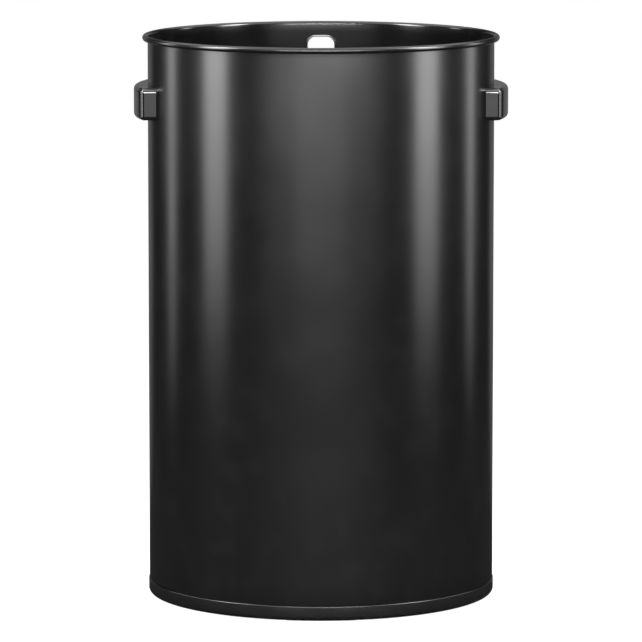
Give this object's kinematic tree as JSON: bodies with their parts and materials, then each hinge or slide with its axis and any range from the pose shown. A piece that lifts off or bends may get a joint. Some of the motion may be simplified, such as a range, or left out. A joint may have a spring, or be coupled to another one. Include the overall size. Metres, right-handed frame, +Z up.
{
  "type": "open-top trash can",
  "caption": "Tall round open-top waste can of black coated sheet steel, with a curled rim, moulded side grips, an edged slot at the back and a moulded base ring.",
  "frame": {"origin": "centre of the circle that the can stands on, at floor level", "axes": "+Z up along the can's axis, -Y the front, +Y the back with the slot, +X the right-hand grip"},
  "size_m": [0.4052, 0.3866, 0.61],
  "materials": {
    "body_coating": "satin black coating on stainless sheet",
    "grip_plastic": "glossy black moulding",
    "ring_plastic": "satin black moulding",
    "edging_plastic": "glossy black moulding",
    "pad_rubber": "matte rubber",
    "wire_steel": "drawn steel wire",
    "backing_steel": "zinc plated strip",
    "screw_steel": "stainless screws and washers",
    "insert_brass": "turned brass"
  },
  "bodies": {
    "root": {"anti_slip_pads": "pad_rubber", "base_ring": "ring_plastic", "body_shell": "body_coating", "floor_pan": "body_coating", "floor_screws": "screw_steel", "grip_backing_left": "backing_steel", "grip_backing_right": "backing_steel", "grip_inserts_left": "insert_brass", "grip_inserts_right": "insert_brass", "grip_left": "grip_plastic", "grip_right": "grip_plastic", "grip_screws_left": "screw_steel", "grip_screws_right": "screw_steel", "grip_washers_left": "screw_steel", "grip_washers_right": "screw_steel", "rim_wire": "wire_steel", "slot_edging": "edging_plastic"}
  },
  "joints": []
}
